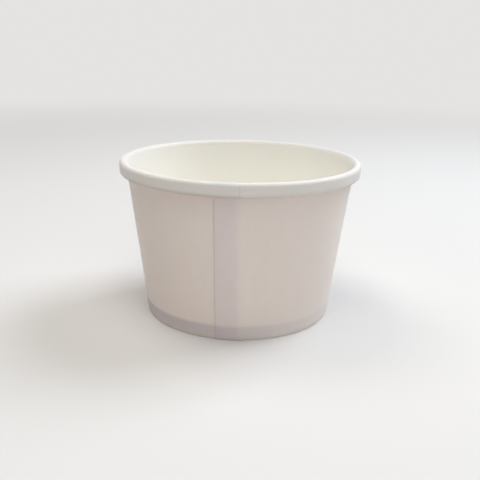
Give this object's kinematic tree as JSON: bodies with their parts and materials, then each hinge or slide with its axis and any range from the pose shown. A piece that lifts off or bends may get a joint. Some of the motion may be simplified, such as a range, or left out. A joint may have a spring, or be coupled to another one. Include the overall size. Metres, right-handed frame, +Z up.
{
  "type": "paper deli container",
  "caption": "Open round paper food container with a tapered wall, a lapped side seam, a rolled rim that takes a lid, and a floor set up inside the folded foot.",
  "frame": {"origin": "on the container's axis, at the table that its foot stands on", "axes": "+Z up along the container's axis, out of its mouth; -Y towards the side seam"},
  "size_m": [0.096, 0.0962, 0.0625],
  "materials": {
    "sidewall_board": "off-white coated board, satin",
    "floor_board": "off-white coated board, satin"
  },
  "bodies": {
    "root": {"sidewall": "sidewall_board", "bottom_disc": "floor_board"}
  },
  "joints": []
}
